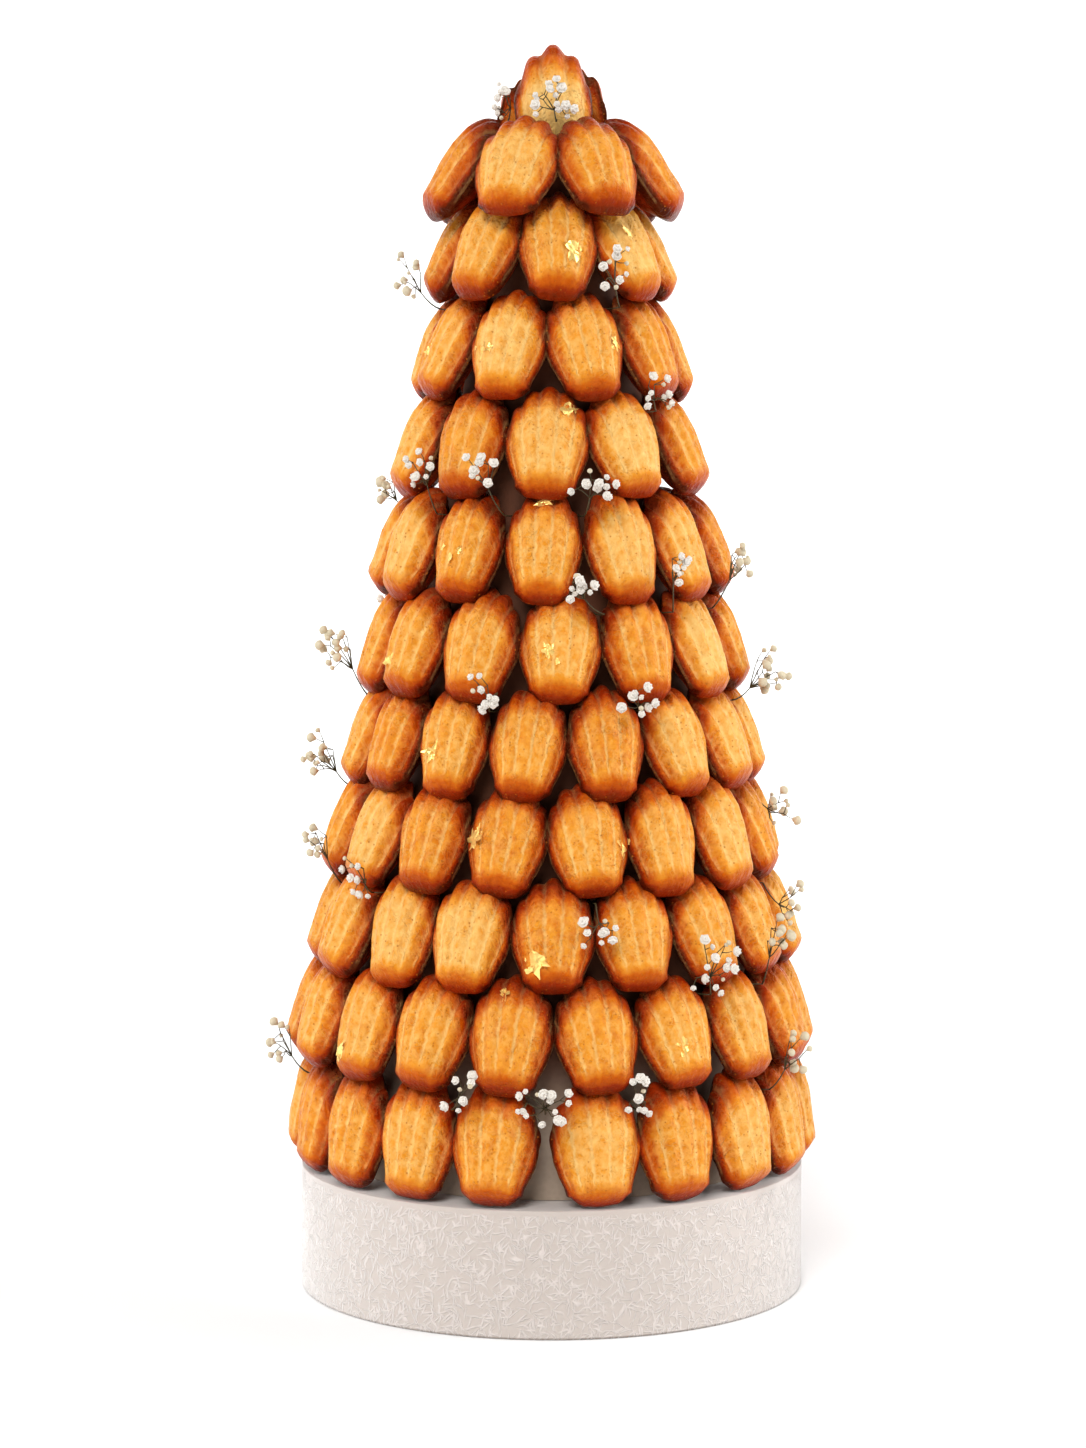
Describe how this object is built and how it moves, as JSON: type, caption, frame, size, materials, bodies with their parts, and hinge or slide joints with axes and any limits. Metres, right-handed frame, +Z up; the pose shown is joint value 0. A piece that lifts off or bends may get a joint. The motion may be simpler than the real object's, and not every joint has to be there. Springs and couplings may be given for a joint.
{
  "type": "madeleine tower",
  "caption": "Tapering tower of shell-shaped sponge cakes stacked in rows round a white cone on a round paper-covered drum, with a small crown and sprigs of white blossom in the gaps.",
  "frame": {"origin": "centre of the drum's underside, on the surface that it stands on", "axes": "+Z up along the tower's axis, the front of the tower towards -Y, +X to the right seen from the front"},
  "size_m": [0.3257, 0.3306, 0.747],
  "materials": {
    "crust": "baked golden-brown sponge crust, satin, fine pores, darker at the rim",
    "paper": "ivory paper embossed with a fine crinkle, satin",
    "foam": "plain matte white",
    "blossom": "small white and ivory blossoms on thin olive-brown stems"
  },
  "bodies": {
    "root": {"cone": "foam", "crown_front": "crust", "crown_left": "crust", "crown_right": "crust", "drum": "paper", "row_01": "crust", "row_02": "crust", "row_03": "crust", "row_04": "crust", "row_05": "crust", "row_06": "crust", "row_07": "crust", "row_08": "crust", "row_09": "crust", "row_10": "crust", "row_11": "crust", "sprig_01_1": "blossom", "sprig_01_2": "blossom", "sprig_01_3": "blossom", "sprig_01_4": "blossom", "sprig_01_5": "blossom", "sprig_01_6": "blossom", "sprig_01_7": "blossom", "sprig_02_1": "blossom", "sprig_02_2": "blossom", "sprig_02_3": "blossom", "sprig_02_4": "blossom", "sprig_03_1": "blossom", "sprig_03_2": "blossom", "sprig_03_3": "blossom", "sprig_03_4": "blossom", "sprig_03_5": "blossom", "sprig_04_1": "blossom", "sprig_04_2": "blossom", "sprig_04_3": "blossom", "sprig_05_1": "blossom", "sprig_05_2": "blossom", "sprig_05_3": "blossom", "sprig_05_4": "blossom", "sprig_05_5": "blossom", "sprig_06_1": "blossom", "sprig_06_2": "blossom", "sprig_06_3": "blossom", "sprig_06_4": "blossom", "sprig_06_5": "blossom", "sprig_07_1": "blossom", "sprig_07_2": "blossom", "sprig_07_3": "blossom", "sprig_07_4": "blossom", "sprig_07_5": "blossom", "sprig_08_1": "blossom", "sprig_08_2": "blossom", "sprig_09_1": "blossom", "sprig_09_2": "blossom", "sprig_09_3": "blossom", "sprig_11_1": "blossom", "sprig_11_2": "blossom"}
  },
  "joints": []
}
